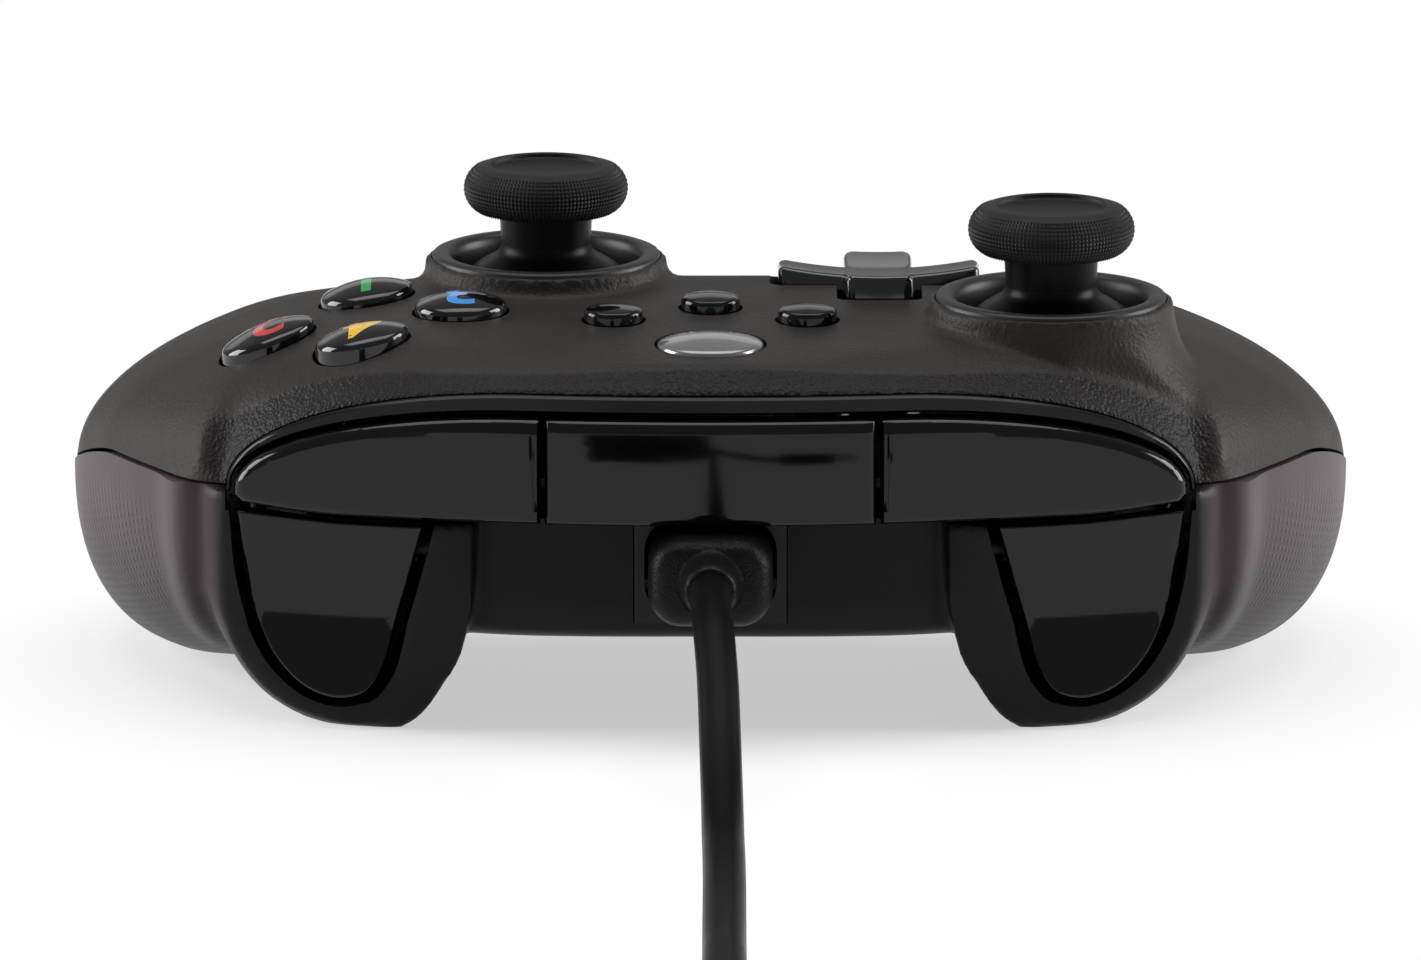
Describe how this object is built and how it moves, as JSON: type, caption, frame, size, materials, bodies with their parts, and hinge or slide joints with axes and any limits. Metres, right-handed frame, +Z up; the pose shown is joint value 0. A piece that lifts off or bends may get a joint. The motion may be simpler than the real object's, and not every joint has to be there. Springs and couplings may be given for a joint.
{
  "type": "gamepad controller",
  "caption": "Two-handed gamepad with offset tilting thumbsticks, direction pad, face buttons, shoulder bumpers, pull triggers and a coiled plug-in cable.",
  "frame": {"origin": "under the middle of the body, on the table, without the cable", "axes": "+X to the side of the left hand, +Y from the shoulder side back to the grips, +Z up"},
  "size_m": [0.1561, 0.4155, 0.0611],
  "materials": {
    "grained_black": "fine spark-eroded grain",
    "satin_black": "satin",
    "gloss_black": "polished",
    "stick_stem": "satin",
    "stick_rubber": "matte with a dotted rim",
    "smoked_lens": "polished dome",
    "silver_lens": "polished",
    "steel": "plain",
    "motor_can": "plain",
    "circuit_board": "solder mask",
    "module_plastic": "plain",
    "gimbal_plastic": "plain",
    "mat_rubber": "matte",
    "overmould": "fine grain",
    "cord_sheath": "satin",
    "tie_wire": "plain"
  },
  "bodies": {
    "housing": {"top_shell": "grained_black", "bottom_shell": "satin_black", "bumper_bezel": "gloss_black", "center_cover": "gloss_black", "bumper_pins": "steel", "bumper_switches": "module_plastic", "port_surround": "satin_black", "screws": "steel", "main_board": "circuit_board", "usb_board": "circuit_board", "usb_socket": "steel", "headset_jack": "module_plastic", "left_stick_ring": "gloss_black", "right_stick_ring": "gloss_black", "left_stick_frame": "module_plastic", "right_stick_frame": "module_plastic", "dpad_base": "module_plastic", "dpad_mat": "mat_rubber", "face_mat": "mat_rubber", "tact_switches": "module_plastic", "left_trigger_pin": "steel", "right_trigger_pin": "steel", "left_trigger_spring": "steel", "right_trigger_spring": "steel", "left_motor": "motor_can", "right_motor": "motor_can", "cable_plug": "overmould", "plug_tongue": "steel", "strain_relief": "overmould", "cord_lead": "cord_sheath", "cord_coil": "cord_sheath", "coil_ties": "tie_wire", "cord_tail": "cord_sheath", "far_plug": "overmould", "far_plug_shell": "steel"},
    "left_bumper": {"left_bumper": "gloss_black"},
    "left_trigger": {"left_trigger": "gloss_black"},
    "left_rocker": {"left_rocker": "gimbal_plastic"},
    "left_cradle": {"left_cradle": "gimbal_plastic"},
    "left_thumbstick": {"left_stem": "stick_stem", "left_cap": "stick_rubber"},
    "left_weight": {"left_weight": "motor_can"},
    "right_bumper": {"right_bumper": "gloss_black"},
    "right_trigger": {"right_trigger": "gloss_black"},
    "right_rocker": {"right_rocker": "gimbal_plastic"},
    "right_cradle": {"right_cradle": "gimbal_plastic"},
    "right_thumbstick": {"right_stem": "stick_stem", "right_cap": "stick_rubber"},
    "right_weight": {"right_weight": "motor_can"},
    "dpad_gimbal": {"dpad_gimbal": "gimbal_plastic"},
    "dpad": {"dpad": "gloss_black"},
    "face_south": {"face_south": "smoked_lens"},
    "face_east": {"face_east": "smoked_lens"},
    "face_west": {"face_west": "smoked_lens"},
    "face_north": {"face_north": "smoked_lens"},
    "home_button": {"home_button": "silver_lens"},
    "menu_button": {"menu_button": "gloss_black"},
    "view_button": {"view_button": "gloss_black"},
    "share_button": {"share_button": "gloss_black"}
  },
  "joints": [
    {"name": "left_bumper_press", "type": "hinge", "parent": "housing", "child": "left_bumper", "pos_m": [0.0235, -0.04154, 0.03185], "axis": [0, 0, 1], "range_deg": [0, 2.4], "stiffness_Nm_per_rad": 0.9, "springref_deg": -1.15},
    {"name": "left_trigger_pull", "type": "hinge", "parent": "housing", "child": "left_trigger", "pos_m": [0.04253, -0.0363, 0.0215], "axis": [0.9428, 0.3333, 0], "range_deg": [0, 12.5], "stiffness_Nm_per_rad": 0.05, "springref_deg": -8.59},
    {"name": "left_stick_fore_aft", "type": "hinge", "parent": "housing", "child": "left_rocker", "pos_m": [0.0404, -0.0215, 0.03559], "axis": [1, 0, 0], "range_deg": [-15, 15], "stiffness_Nm_per_rad": 0.04},
    {"name": "left_stick_side", "type": "hinge", "parent": "left_rocker", "child": "left_cradle", "pos_m": [0.0404, -0.0215, 0.03559], "axis": [0, 0.9986, 0.0523], "range_deg": [-15, 15], "stiffness_Nm_per_rad": 0.04},
    {"name": "left_stick_click", "type": "slide", "parent": "left_cradle", "child": "left_thumbstick", "axis": [0, 0.0523, -0.9986], "range_m": [0, 0.0005], "stiffness_N_per_m": 3000, "springref_m": -0.0003},
    {"name": "left_weight_spin", "type": "hinge", "parent": "housing", "child": "left_weight", "pos_m": [0.057, 0.025, 0.0165], "axis": [0, 1, 0], "continuous": true},
    {"name": "right_bumper_press", "type": "hinge", "parent": "housing", "child": "right_bumper", "pos_m": [-0.0235, -0.04154, 0.03185], "axis": [0, 0, -1], "range_deg": [0, 2.4], "stiffness_Nm_per_rad": 0.9, "springref_deg": -1.15},
    {"name": "right_trigger_pull", "type": "hinge", "parent": "housing", "child": "right_trigger", "pos_m": [-0.04253, -0.0363, 0.0215], "axis": [0.9428, -0.3333, 0], "range_deg": [0, 12.5], "stiffness_Nm_per_rad": 0.05, "springref_deg": -8.59},
    {"name": "right_stick_fore_aft", "type": "hinge", "parent": "housing", "child": "right_rocker", "pos_m": [-0.0198, 0.0025, 0.03685], "axis": [1, 0, 0], "range_deg": [-15, 15], "stiffness_Nm_per_rad": 0.04},
    {"name": "right_stick_side", "type": "hinge", "parent": "right_rocker", "child": "right_cradle", "pos_m": [-0.0198, 0.0025, 0.03685], "axis": [0, 0.9986, 0.0523], "range_deg": [-15, 15], "stiffness_Nm_per_rad": 0.04},
    {"name": "right_stick_click", "type": "slide", "parent": "right_cradle", "child": "right_thumbstick", "axis": [0, 0.0523, -0.9986], "range_m": [0, 0.0005], "stiffness_N_per_m": 3000, "springref_m": -0.0003},
    {"name": "right_weight_spin", "type": "hinge", "parent": "housing", "child": "right_weight", "pos_m": [-0.057, 0.025, 0.0165], "axis": [0, 1, 0], "continuous": true},
    {"name": "dpad_side", "type": "hinge", "parent": "housing", "child": "dpad_gimbal", "pos_m": [0.0202, -0.00009, 0.04022], "axis": [0, 0.9986, 0.0523], "range_deg": [-5, 5], "stiffness_Nm_per_rad": 0.15},
    {"name": "dpad_fore_aft", "type": "hinge", "parent": "dpad_gimbal", "child": "dpad", "pos_m": [0.0202, -0.00009, 0.04022], "axis": [1, 0, 0], "range_deg": [-5, 5], "stiffness_Nm_per_rad": 0.15},
    {"name": "face_south_press", "type": "slide", "parent": "housing", "child": "face_south", "axis": [0, 0.0523, -0.9986], "range_m": [0, 0.0013], "stiffness_N_per_m": 500, "springref_m": -0.0005},
    {"name": "face_east_press", "type": "slide", "parent": "housing", "child": "face_east", "axis": [0, 0.0523, -0.9986], "range_m": [0, 0.0013], "stiffness_N_per_m": 500, "springref_m": -0.0005},
    {"name": "face_west_press", "type": "slide", "parent": "housing", "child": "face_west", "axis": [0, 0.0523, -0.9986], "range_m": [0, 0.0013], "stiffness_N_per_m": 500, "springref_m": -0.0005},
    {"name": "face_north_press", "type": "slide", "parent": "housing", "child": "face_north", "axis": [0, 0.0523, -0.9986], "range_m": [0, 0.0013], "stiffness_N_per_m": 500, "springref_m": -0.0005},
    {"name": "home_press", "type": "slide", "parent": "housing", "child": "home_button", "axis": [0, 0.0523, -0.9986], "range_m": [0, 0.0007], "stiffness_N_per_m": 1500, "springref_m": -0.0004},
    {"name": "menu_press", "type": "slide", "parent": "housing", "child": "menu_button", "axis": [0, 0.0523, -0.9986], "range_m": [0, 0.0007], "stiffness_N_per_m": 1500, "springref_m": -0.0004},
    {"name": "view_press", "type": "slide", "parent": "housing", "child": "view_button", "axis": [0, 0.0523, -0.9986], "range_m": [0, 0.0007], "stiffness_N_per_m": 1500, "springref_m": -0.0004},
    {"name": "share_press", "type": "slide", "parent": "housing", "child": "share_button", "axis": [0, 0.0523, -0.9986], "range_m": [0, 0.0007], "stiffness_N_per_m": 1500, "springref_m": -0.0004}
  ]
}
